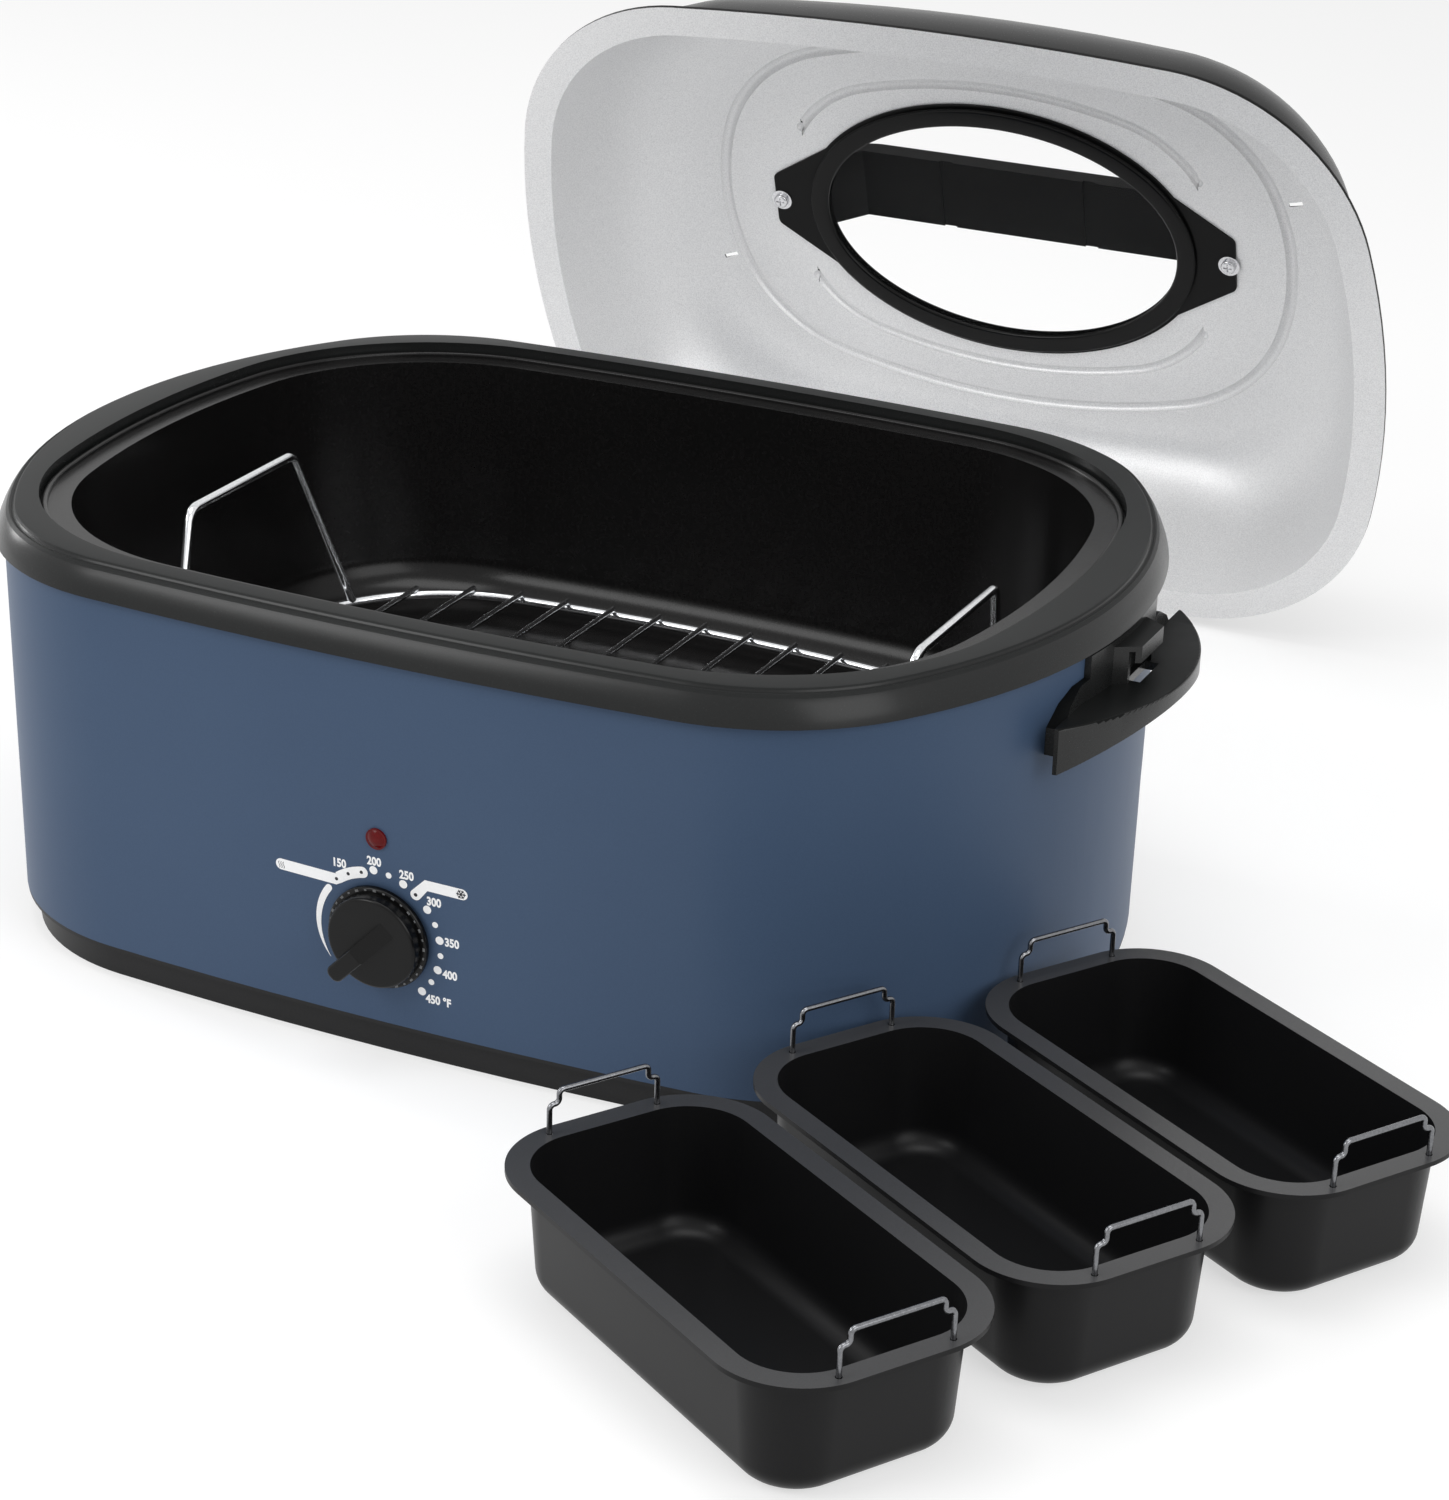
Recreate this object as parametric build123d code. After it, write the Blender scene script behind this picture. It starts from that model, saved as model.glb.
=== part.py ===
from build123d import *
import os
from math import atan2, cos, degrees, hypot, radians, sin, sqrt

os.makedirs("parts", exist_ok=True)

# Lengths are in millimetres. The roaster is centred on the origin with its front towards -Y and it
# stands on the table at z = 0. An outline is a closed curve of eight tangent arcs, given as its
# half length, half width, long-side radius, end radius and corner radius.

# Clearances
seat_gap = 0.3
slip_gap = 0.1
pivot_gap = 0.07

# Rim moulding
rim_outline = (280.0, 210.2, 2000.0, 276.0, 113.0)
opening_outline = (251.0, 190.0, 2000.0, 450.0, 125.0)
rim_top_z = 216.0
rim_sheet = 2.5
ledge_z = 205.8
ledge_sheet = 2.2

# Outer shell
shell_foot_outline = (274.0, 194.2, 1984.0, 270.0, 107.0)
shell_under_rim = 4.0
shell_foot_z = 17.2
shell_sheet = 1.0
shell_foot_flange = 22.0

# Base tray
tray_skirt_inset = 6.0
tray_sheet = 2.5
tray_ledge = 2.0
pad_radius = 9.0
pad_spots = ((200.0, 110.0), (-200.0, 110.0), (-200.0, -110.0), (200.0, -110.0))
boss_spots = ((140.0, 174.0), (-140.0, 174.0), (-140.0, -174.0), (140.0, -174.0))
boss_radius = 6.5
base_screw_radius = 2.0
bracket_sheet = 1.5
shield_z = 44.0

# Cooking well and insert pan
pan_wall_inset = 15.0
pan_taper = 10.0
pan_sheet = 1.2
pan_floor_z = 84.0
pan_bend = 22.0
pan_to_well = 2.5
well_sheet = 1.0
well_flange = 6.0
pan_roll = 3.0
pan_roll_height = 3.2

# Heater
element_z = 105.0
element_radius = 3.25
element_off = 4.6
element_tail_x = 20.0
insulation_z = 116.2
insulation_top = 198.0
insulation_sheet = 12.0

# Control
knob_z = 63.0
knob_radius = 25.5
knob_disc = 22.5
knob_turned = 135.0
shaft_radius = 3.0
neck_radius = 5.0
body_half = (17.5, 22.0)
body_depth = 19.0
bulb_y = -120.0
bulb_half = 40.0
bulb_radius = 3.0
grip_half_width = 4.25
grip_tip = 20.0
grip_tail = -14.1
lens_z = 112.0
lens_radius = 4.4
lens_rise = 1.6

# Cord entry, in the tray's left end
gland_z = 8.8
gland_radius = 5.6
gland_bore = 3.6
gland_lip = 0.6

# Side handles
handle_arc = 129.8
handle_arc_x = 176.2
handle_half = 83.0
handle_top_z = 178.0
handle_sheet = 4.0
handle_low_z = 150.0
hook_top_z = 196.0
hook_reach = 289.0
handle_screw_y = 40.0
handle_screw_z = 170.0
handle_screw_radius = 1.8
handle_chord = 274.0
handle_back = 3.0
back_half = 72.0
back_top_half = 44.0
back_top_z = 199.0
hook_half = 14.5
hook_root_half = 27.0
hook_slot = (282.0, 288.5)

# Roasting rack
rack_outline = (200.0, 140.0, 1000.0, 380.0, 100.0)
rack_z = 94.0
rack_wire = 2.5
grid_wire = 1.5
grid_pitch = 26.4
weld_gap = 0.05
grip_x = 194.0
grip_half = 48.0
grip_z = 186.0

# Lid, in its own frame: flange underside at z = 0 and the dome towards +z
lid_outline = (268.0, 193.0, 2000.0, 450.0, 122.0)
lid_flange = 17.0
lid_sheet = 0.9
lid_height = 100.0
plateau_outline = (189.0, 129.0, 420.0, 150.0, 100.0)
ridge_outline = (182.0, 123.0, 400.0, 145.0, 95.0)
inner_ridge_outline = (140.0, 98.0, 300.0, 110.0, 75.0)
window_half = (112.0, 72.0)
gasket_lip = 3.0
gasket_web = 4.0
gasket_outer = 5.0
glass_sheet = 4.0
plate_sheet = 1.2
plate_waist = 44.0
strap_half = 23.0
strap_under = 28.0
strap_sheet = 10.0
strap_foot = 14.0
lid_tilt = 71.0
lid_stand_y = 450.0
lid_stand_gap = 0.6

# Buffet pans, in a row beside the roaster's front corner. Each place has its order in the row and
# a shift along the pan's length.
buffet_size = (222.0, 120.0, 38.0)
buffet_height = 58.0
buffet_flange = 9.5
buffet_taper = 4.0
buffet_bend = 12.0
buffet_sheet = 0.8
buffet_lip = 1.2
buffet_yaw = -32.0
buffet_row = -36.7
buffet_gap = 6.5
buffet_clear = 4.2
buffet_places = {"left": (-1, 10.0), "middle": (0, 0.0), "right": (1, -6.0)}
bail_half = 26.0
bail_wire = 1.2
bail_bend = 2.2
bail_rise = 13.0
bail_step = 4.6
bail_head = 6.0
bail_foot = 4.0

lid_rest = (0.0, lid_stand_y, lid_outline[1] * sin(radians(lid_tilt)) + lid_stand_gap)
lid_cut_low = lid_height - 20.0
lid_cut_high = lid_height + 10.0
lid_screw_x = window_half[0] + 32.0
bail_x = buffet_size[0] / 2 - (buffet_flange + buffet_lip) / 2
shell_top_outline = tuple(value - shell_under_rim for value in rim_outline)
shell_top_z = ledge_z - well_sheet
wall_lean = degrees(atan2(shell_top_outline[1] - shell_foot_outline[1], shell_top_z - shell_foot_z))
pan_flange_z = ledge_z + ledge_sheet + seat_gap


def inset(outline, distance):
    return tuple(value - distance for value in outline)


def between(low, high, share):
    return tuple(p + (q - p) * share for p, q in zip(low, high))


def corner_centre(outline):
    half_x, half_y, side_radius, end_radius, corner_radius = outline
    end_x = half_x - end_radius
    side_y = half_y - side_radius
    gap = hypot(end_x, side_y)
    reach = end_radius - corner_radius
    along = (reach ** 2 - (side_radius - corner_radius) ** 2 + gap ** 2) / (2 * gap)
    off = sqrt(reach ** 2 - along ** 2)
    unit_x = -end_x / gap
    unit_y = side_y / gap
    return end_x + along * unit_x - off * unit_y, along * unit_y + off * unit_x


def on_outline(outline, heading):
    # The point of the outline whose outward normal has this heading in degrees.
    half_x, half_y, side_radius, end_radius, corner_radius = outline
    centre_x, centre_y = corner_centre(outline)
    normal_x = abs(cos(radians(heading)))
    normal_y = abs(sin(radians(heading)))
    turn = atan2(normal_y, normal_x)
    end_x = half_x - end_radius
    side_y = half_y - side_radius
    x = centre_x + corner_radius * normal_x
    y = centre_y + corner_radius * normal_y
    if turn < atan2(centre_y, centre_x - end_x):
        x = end_x + end_radius * normal_x
        y = end_radius * normal_y
    elif turn > atan2(centre_y - side_y, centre_x):
        x = side_radius * normal_x
        y = side_y + side_radius * normal_y
    sign_x = 1 if cos(radians(heading)) >= 0 else -1
    sign_y = 1 if sin(radians(heading)) >= 0 else -1
    return sign_x * x, sign_y * y


def oval(outline, z):
    half_x, half_y, side_radius, end_radius, corner_radius = outline
    centre_x, centre_y = corner_centre(outline)
    end_x = half_x - end_radius
    side_y = half_y - side_radius
    low = atan2(centre_y, centre_x - end_x)
    high = atan2(centre_y - side_y, centre_x)
    x0 = end_x + end_radius * cos(low)
    y0 = end_radius * sin(low)
    x1 = centre_x + corner_radius * cos((low + high) / 2)
    y1 = centre_y + corner_radius * sin((low + high) / 2)
    x2 = side_radius * cos(high)
    y2 = side_y + side_radius * sin(high)
    spots = [(x0, -y0), (half_x, 0), (x0, y0), (x1, y1), (x2, y2), (0, half_y), (-x2, y2), (-x1, y1)]
    spots += [(-x, -y) for x, y in spots]
    edges = []
    for k in range(0, 16, 2):
        ends = [Vector(*spots[(k + step) % 16], z) for step in range(3)]
        edges.append(ThreePointArc(*ends).edge())
    return Wire(edges)


def loop_of(outline, z, radius):
    path = oval(outline, z)
    section = Plane(origin=path @ 0, z_dir=path % 0) * Circle(radius)
    return Part() + sweep(section, path=path)


def stack(levels):
    return Part() + Solid.make_loft([oval(outline, z) for outline, z in levels], ruled=True)


def slab(outline, low, high):
    return stack([(outline, low), (outline, high)])


def rounded_foot(solid, radius):
    return fillet(solid.edges().group_by(Axis.Z)[0], radius)


def box(x0, x1, y0, y1, z0, z1):
    middle = ((x0 + x1) / 2, (y0 + y1) / 2, (z0 + z1) / 2)
    return Pos(*middle) * Box(abs(x1 - x0), abs(y1 - y0), abs(z1 - z0))


def rod(x, y, low, high, radius):
    return Pos(x, y, (low + high) / 2) * Cylinder(radius, high - low)


def rod_x(low, high, y, z, radius):
    return Pos((low + high) / 2, y, z) * Rot(0, 90, 0) * Cylinder(radius, abs(high - low))


def rod_y(low, high, x, z, radius):
    return Pos(x, (low + high) / 2, z) * Rot(90, 0, 0) * Cylinder(radius, abs(high - low))


def bent_tube(points, radius, bend):
    # A round wire through the points, each corner turned with the bend radius.
    points = [Vector(*point) for point in points]
    edges = []
    start = points[0]
    for before, corner, after in zip(points, points[1:], points[2:]):
        arrive = (before - corner).normalized()
        leave = (after - corner).normalized()
        half = radians(arrive.get_angle(leave)) / 2
        setback = bend / (sin(half) / cos(half))
        middle = (arrive + leave).normalized()
        first = corner + arrive * setback
        last = corner + leave * setback
        top = corner + middle * (bend / sin(half) - bend)
        edges.append(Line(start, first).edge())
        edges.append(ThreePointArc(first, top, last).edge())
        start = last
    edges.append(Line(start, points[-1]).edge())
    path = Wire(edges)
    section = Plane(origin=points[0], z_dir=points[1] - points[0]) * Circle(radius)
    return sweep(section, path=path)


def shell_at(z, distance=0.0):
    share = (z - shell_foot_z) / (shell_top_z - shell_foot_z)
    return inset(between(shell_foot_outline, shell_top_outline, share), distance)


def wall_frame(x, z, side):
    # On the shell's long face: local z points outwards and local y points up the wall.
    half_y, side_radius = shell_at(z)[1:3]
    y = half_y - side_radius + sqrt(side_radius ** 2 - x ** 2)
    lean = radians(wall_lean)
    return Plane(origin=(x, side * y, z), x_dir=(-side, 0, 0), z_dir=(0, side * cos(lean), -sin(lean)))


def save(shape, name):
    export_step(shape, "parts/" + name + ".step")
    print(name, round(shape.volume / 1000, 1), "cm3", len(shape.solids()), "solids")


front_panel = wall_frame(0, knob_z, -1)
lamp_spot = wall_frame(0, lens_z, -1)
in_knob_frame = front_panel.location
in_lamp_frame = lamp_spot.location
in_gland_frame = Location((tray_skirt_inset - shell_foot_outline[0], 0, gland_z), (0, -90, 0))
knob_hole_radius = neck_radius + seat_gap
lens_hole_radius = lens_radius + slip_gap
gland_hole_radius = gland_radius + slip_gap


def end_x_at(z, y):
    # How far out the shell's end wall stands at this height and sideways place.
    half_x, end_radius = shell_at(z)[0], shell_at(z)[3]
    return half_x - end_radius + sqrt(end_radius ** 2 - y ** 2)


# Outer shell: one skin, turned inwards at the foot and at the top
def outer_shell():
    foot_in = inset(shell_foot_outline, shell_foot_flange)
    low = shell_foot_z + shell_sheet
    high = shell_top_z - shell_sheet
    skin = stack([(shell_at(shell_foot_z), shell_foot_z), (shell_at(shell_top_z), shell_top_z)])
    skin -= stack([(shell_at(low, shell_sheet), low), (shell_at(high, shell_sheet), high)])
    skin -= slab(foot_in, shell_foot_z - 1, low + 1)
    skin -= slab(inset(opening_outline, 5.0), high - 1, shell_top_z + 1)
    for x, y in boss_spots:
        skin -= rod(x, y, shell_foot_z - 1, low + 1, base_screw_radius + slip_gap)
    skin -= in_knob_frame * Cylinder(knob_hole_radius, 8)
    skin -= in_lamp_frame * Cylinder(lens_hole_radius, 8)
    for side in (-1, 1):
        for y in (-handle_screw_y, handle_screw_y):
            wall = end_x_at(handle_screw_z, y)
            hole = handle_screw_radius + slip_gap
            skin -= rod_x(side * (wall - 6), side * (wall + 6), y, handle_screw_z, hole)
    return skin


# Base tray: floor, skirt and the ledge the shell's foot stands on
def base_tray():
    skirt = inset(shell_foot_outline, tray_skirt_inset)
    ledge = inset(shell_foot_outline, seat_gap)
    tray = slab(skirt, 0, shell_foot_z - tray_ledge)
    tray += slab(ledge, shell_foot_z - tray_ledge, shell_foot_z)
    tray -= slab(inset(skirt, tray_sheet), tray_sheet, shell_foot_z + 1)
    for x, y in boss_spots:
        tray += rod(x, y, tray_sheet, shell_foot_z, boss_radius)
    for x, y in boss_spots:
        tray -= rod(x, y, -1, shell_foot_z + 1, base_screw_radius + slip_gap)
        tray -= rod(x, y, -1, 4.0, 2 * base_screw_radius + seat_gap)
    for x, y in pad_spots:
        tray -= rod(x, y, -1, tray_sheet + 1, pad_radius + slip_gap)
    for x in (-110, 110):
        for step in range(6):
            y = -50 + 20 * step
            tray -= box(x - 24, x + 24, y - 2, y + 2, -1, tray_sheet + 1)
    tray -= in_gland_frame * Cylinder(gland_hole_radius, 2 * tray_sheet + 2)
    return tray


def rubber_pads():
    pads = Part()
    for x, y in pad_spots:
        pads += rod(x, y, 0, tray_sheet, pad_radius)
        pads += rod(x, y, tray_sheet, tray_sheet + 1.5, pad_radius + 3)
    return pads


def base_screws():
    screws = Part()
    for x, y in boss_spots:
        screws += rod(x, y, 1.2, 4.0, 2 * base_screw_radius)
        screws += rod(x, y, 4.0, shell_foot_z + shell_sheet + bracket_sheet + 2, base_screw_radius)
        screws -= box(x - 3, x + 3, y - 0.5, y + 0.5, 1, 2.2)
        screws -= box(x - 0.5, x + 0.5, y - 3, y + 3, 1, 2.2)
    return screws


# Brackets stand on the shell's foot flange and carry the heat shield
def base_brackets():
    brackets = Part()
    low = shell_foot_z + shell_sheet
    for x, y in boss_spots:
        side = 1 if y > 0 else -1
        inner = abs(y) - 6
        foot = box(x - 12, x + 12, side * inner, side * (inner + 15), low, low + bracket_sheet)
        leg = box(x - 12, x + 12, side * inner, side * (inner + bracket_sheet), low, shield_z)
        tab = box(x - 12, x + 12, side * (inner - 20), side * inner, shield_z - bracket_sheet, shield_z)
        brackets += foot + leg + tab
        brackets -= rod(x, y, low - 1, low + 3, base_screw_radius + slip_gap)
    return brackets


shield_outline = (228.0, 158.0, 2000.0, 300.0, 110.0)


def heat_shield():
    shield = slab(shield_outline, shield_z, shield_z + well_sheet)
    lip = slab(shield_outline, shield_z + well_sheet, shield_z + 5)
    lip -= slab(inset(shield_outline, well_sheet), shield_z, shield_z + 6)
    return shield + lip


# Rim moulding: flared skirt, flat top, inner wall and the ledge that takes the pan. Each point of
# a side is an inset from the rim's outline and a depth below its top.
rim_side = ((0.0, 15.5), (0.7, 12.5), (1.9, 9.4), (3.6, 6.0), (5.3, 3.3), (6.7, 1.8),
            (7.4, 2.0), (8.1, 2.3), (8.7, 1.8), (9.0, 0.9), (9.7, 0.2), (10.8, 0.0))
rim_hollow = ((2.2, 16.0), (2.9, 12.5), (4.1, 9.4), (6.0, 6.0), (8.6, 3.8), (10.4, 3.1))


def top_rim():
    rim = stack([(inset(rim_outline, step), rim_top_z - depth) for step, depth in rim_side])
    hollow = stack([(inset(rim_outline, step), rim_top_z - depth) for step, depth in rim_hollow])
    last_step, last_depth = rim_hollow[-1]
    low = rim_top_z - last_depth - 0.2
    hollow += slab(inset(rim_outline, last_step), low, rim_top_z - rim_sheet)
    core = slab(inset(opening_outline, -rim_sheet), ledge_z, rim_top_z + 1)
    hollow -= core
    rim -= hollow
    rim -= slab(opening_outline, ledge_z + ledge_sheet, rim_top_z + 1)
    rim -= slab(inset(opening_outline, 10.0), ledge_z - 1, rim_top_z + 1)
    return rim


def well_wall_inset(z):
    # Inset of the well's outside from the opening outline, at this height.
    depth = pan_wall_inset - pan_sheet - pan_to_well - well_sheet
    share = (z - well_floor_z) / (shell_top_z - well_floor_z)
    return depth + pan_taper * (1 - share)


well_floor_z = pan_floor_z - pan_sheet - 1.8 - well_sheet


def cooking_well():
    outer_bend = pan_bend + pan_sheet + pan_to_well + well_sheet
    high = shell_top_z
    low_outline = inset(opening_outline, well_wall_inset(well_floor_z))
    high_outline = inset(opening_outline, well_wall_inset(high))
    well = rounded_foot(stack([(low_outline, well_floor_z), (high_outline, high)]), outer_bend)
    well += slab(inset(opening_outline, -well_flange), high, high + well_sheet)
    hollow = stack([(inset(low_outline, well_sheet), well_floor_z + well_sheet),
                    (inset(high_outline, well_sheet), high + well_sheet + 0.01)])
    well -= rounded_foot(hollow, outer_bend - well_sheet)
    return well


def insulation_wrap():
    low = inset(opening_outline, well_wall_inset(insulation_z) - slip_gap)
    high = inset(opening_outline, well_wall_inset(insulation_top) - slip_gap)
    wrap = stack([(inset(low, -insulation_sheet), insulation_z),
                  (inset(high, -insulation_sheet), insulation_top)])
    wrap -= stack([(low, insulation_z), (high, insulation_top)])
    return wrap


# Heating element: a sheathed ring round the well, open at the back, its tails turned down
def heating_element():
    around = inset(opening_outline, well_wall_inset(element_z) - element_off)
    body = loop_of(around, element_z, element_radius)
    back_y = on_outline(around, 90)[1]
    body -= box(-element_tail_x, element_tail_x, back_y - 8, back_y + 8, element_z - 8, element_z + 8)
    for x in (-element_tail_x, element_tail_x):
        body += rod(x, back_y - 0.1, 66, element_z, element_radius)
        body += Pos(x, back_y - 0.1, element_z) * Sphere(element_radius + 0.6)
        body += rod(x, back_y - 0.1, 58, 66, 1.6)
    return body


def clip_frame(heading):
    wall = inset(opening_outline, well_wall_inset(element_z))
    x, y = on_outline(wall, heading)
    lean = atan2(pan_taper, shell_top_z - well_floor_z)
    out_x = cos(radians(heading))
    out_y = sin(radians(heading))
    outward = (out_x * cos(lean), out_y * cos(lean), -sin(lean))
    upward = (out_x * sin(lean), out_y * sin(lean), cos(lean))
    return Plane(origin=(x, y, element_z), x_dir=outward, z_dir=upward).location


def element_clips():
    clips = Part()
    for heading in (0, 52, 108, 180, 232, 308):
        back = box(slip_gap, 1.1, -6, 6, -6, 11)
        shelf = box(1.0, 9.0, -6, 6, -4.9, -3.9)
        lip = box(8.2, 9.0, -6, 6, -4.9, -1.0)
        rest = box(1.0, 10.0, -6, 6, 10.0, 11.0)
        clips += clip_frame(heading) * (back + shelf + lip + rest)
    return clips


# Thermostat, behind the knob
bracket_back = shell_sheet + 0.2
body_front = bracket_back + well_sheet + 0.2


def thermostat_body():
    half_x, half_y = body_half
    case = box(-half_x, half_x, -half_y, half_y, -body_front - body_depth, -body_front)
    case = fillet(case.edges().filter_by(Axis.Z), 3)
    neck = rod(0, 0, -body_front, 3.0, neck_radius)
    bore = rod(0, 0, -body_front - body_depth + 3, 4, shaft_radius + pivot_gap)
    return in_knob_frame * (case + neck - bore)


def thermostat_bracket():
    half_x = body_half[0] - 2.5
    low = -body_half[1] - 12
    plate = box(-half_x, half_x, low, body_half[1] + 4, -body_front, -bracket_back)
    hole = rod(0, 0, -body_front - 1, 0, neck_radius + slip_gap)
    foot = box(-half_x, half_x, low, low + well_sheet, -body_front - 6, -body_front + 0.2)
    return in_knob_frame * (plate - hole + foot)


def thermostat_bulb():
    bulb_z = well_floor_z - bulb_radius - slip_gap
    bulb = rod_x(-bulb_half, bulb_half, bulb_y, bulb_z, bulb_radius)
    side = in_knob_frame * Pos(body_half[0] + slip_gap, 4, -body_front - 12)
    start = side.position
    points = [start, start + Vector(10, 0, 0), (bulb_half + 6, bulb_y - 40, bulb_z - 8.0),
              (bulb_half + 16, bulb_y - 8, bulb_z), (bulb_half + 8, bulb_y, bulb_z),
              (bulb_half - 1, bulb_y, bulb_z)]
    return bulb + bent_tube(points, 1.0, 3.0)


def knob_shaft():
    low = -body_front - body_depth + 4
    shaft = rod(0, 0, low, 11.0, shaft_radius)
    shaft -= box(-4, 4, shaft_radius - 1, shaft_radius + 1, 4.5, 12)
    return in_knob_frame * Rot(0, 0, knob_turned) * shaft


def knob_grip():
    # A wedge: flat on top towards its rounded tip, and sloping down to the disc behind.
    top = 23.0
    foot = 9.0
    spots = [(grip_tail, foot), (grip_tip, foot), (grip_tip, top), (1.0, top)]
    edges = [Line(spots[k], spots[(k + 1) % 4]).edge() for k in range(4)]
    side = Plane(origin=(0, 0, 0), x_dir=(0, 1, 0), z_dir=(1, 0, 0)) * make_face(Wire(edges).edges())
    grip = extrude(side, grip_half_width, both=True)
    tip_edges = grip.edges().filter_by(Axis.Z)
    grip = fillet(tip_edges, grip_half_width - 0.65)
    return fillet(grip.edges().group_by(Axis.Z)[-1], 1.2)


def control_knob():
    skirt = rod(0, 0, 1.6, 4.2, knob_radius)
    skirt = fillet(skirt.edges().group_by(Axis.Z)[-1], 1.2)
    disc = Pos(0, 0, 7.0) * Cone(knob_disc + 0.6, knob_disc, 6.0)
    disc = fillet(disc.edges().group_by(Axis.Z)[-1], 1.6)
    knob = skirt + disc + knob_grip()
    knob -= rod(0, 0, 1, 4.4, neck_radius + 1.5)
    knob -= rod(0, 0, 4, 12, shaft_radius + pivot_gap)
    key = box(-3.2, 3.2, shaft_radius - 1 + pivot_gap, shaft_radius + 0.4, 4.6, 12.2)
    knob += key
    knob = Rot(0, 0, knob_turned) * knob
    return in_knob_frame * knob


def indicator_lens():
    cap_radius = (lens_radius ** 2 + lens_rise ** 2) / (2 * lens_rise)
    flange = rod(0, 0, slip_gap, 1.0, lens_radius + 0.8)
    dome = Pos(0, 0, 1.0 + lens_rise - cap_radius) * Sphere(cap_radius)
    dome -= rod(0, 0, -2 * cap_radius, 0.8, 2 * cap_radius)
    stem = rod(0, 0, -6, slip_gap, lens_radius)
    return in_lamp_frame * (flange + dome + stem)


def neon_lamp():
    tube = rod(0, 0, -15, -6.2, 2.6)
    return in_lamp_frame * fillet(tube.edges().group_by(Axis.Z)[0], 1.2)


def cord_gland():
    lip_radius = gland_radius + gland_lip
    flange = rod(0, 0, slip_gap, 3.0, lip_radius)
    flange = fillet(flange.edges().group_by(Axis.Z)[-1], 0.8)
    body = rod(0, 0, -9, slip_gap, gland_radius)
    collar = rod(0, 0, -9, -tray_sheet - seat_gap, lip_radius)
    nose = Pos(0, 0, 6.0) * Cone(gland_radius - 0.2, gland_bore + 1.4, 6.0)
    bore = rod(0, 0, -12, 12, gland_bore)
    return in_gland_frame * (flange + body + collar + nose - bore)


block_y = 140.0


def terminal_block():
    low = tray_sheet
    block = box(-36, 36, block_y - 11, block_y + 11, low, low + 10)
    for k in range(4):
        x = -27 + 18 * k
        block += box(x - 6, x + 6, block_y - 9, block_y + 9, low + 10, low + 17)
        block -= rod(x, block_y, low + 12, low + 18, 3.0)
        block += rod(x, block_y, low + 11, low + 15, 2.6)
    return block


def wiring_leads():
    leads = Part()
    riser_y = block_y + 24
    top = tray_sheet + 6
    tail_y = on_outline(inset(opening_outline, well_wall_inset(element_z) - element_off), 90)[1] - 0.1
    for x in (-element_tail_x, element_tail_x):
        inner = x * 1.35
        leads += bent_tube([(inner, block_y + 11, top), (inner, riser_y, top), (inner, riser_y, 49),
                            (x, tail_y, 50), (x, tail_y, 58)], 1.5, 2.2)
    for x in (-9, 9):
        foot = (in_knob_frame * Pos(x, -body_half[1] - seat_gap, -body_front - 11)).position
        inner_y = shell_foot_flange + 6 - shell_foot_outline[1]
        leads += bent_tube([foot, foot - Vector(0, 0, 13), (x, inner_y, 27), (x, inner_y, top),
                            (x, block_y - 11, top)], 1.5, 3)
    for x in (-1.4, 1.4):
        spread = 5 * x
        high = (in_lamp_frame * Pos(x, 0, -15 - slip_gap)).position
        low = (in_knob_frame * Pos(spread, body_half[1] + seat_gap, -body_front - 8)).position
        leads += bent_tube([high, high + Vector(0, 3, 0), high + Vector(spread, 3, -10), low], 0.8, 1.2)
    return leads


# Side handles: a hollow segment of a disc, its back plate and the raised hook
def segment(arc, chord, half, low, high):
    disc = Pos(handle_arc_x, 0, low) * extrude(Circle(arc), high - low)
    return disc & box(chord, handle_arc_x + arc + 1, -half, half, low, high)


def shell_solid(low, high, out):
    return stack([(shell_at(low, -out), low), (shell_at(high, -out), high)])


def back_plate():
    # Follows the shell in the middle and is flat towards its ends, where the shell curves away.
    low = handle_low_z
    knee = handle_top_z + 9.0
    half = [Line((0, low), (back_half, low)), Line((back_half, low), (back_half, handle_top_z - 5)),
            Line((back_half, handle_top_z - 5), (back_half - 8, handle_top_z + 4)),
            Line((back_half - 8, handle_top_z + 4), (back_half - 18, knee)),
            Line((back_half - 18, knee), (back_top_half, knee + 1)),
            Line((back_top_half, knee + 1), (back_top_half, back_top_z)),
            Line((back_top_half, back_top_z), (0, back_top_z)), Line((0, back_top_z), (0, low))]
    face = make_face(Wire([part.edge() for part in half]).edges())
    plate = extrude(Plane(origin=(240, 0, 0), x_dir=(0, 1, 0), z_dir=(1, 0, 0)) * face, 60)
    plate += mirror(plate, Plane.XZ)
    curved = plate & shell_solid(low - 1, back_top_z + 1, handle_back + slip_gap)
    return curved + (plate & box(240, handle_chord + 0.2, -100, 100, low - 1, back_top_z + 1))


def hook_prism(out, low, high):
    root = hook_root_half + out
    tip = hook_half + out
    spots = [(270, -root), (hook_reach + out, -tip), (hook_reach + out, tip), (270, root)]
    edges = [Line(spots[k], spots[(k + 1) % 4]).edge() for k in range(4)]
    return Pos(0, 0, low) * extrude(make_face(Wire(edges).edges()), high - low)


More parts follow.
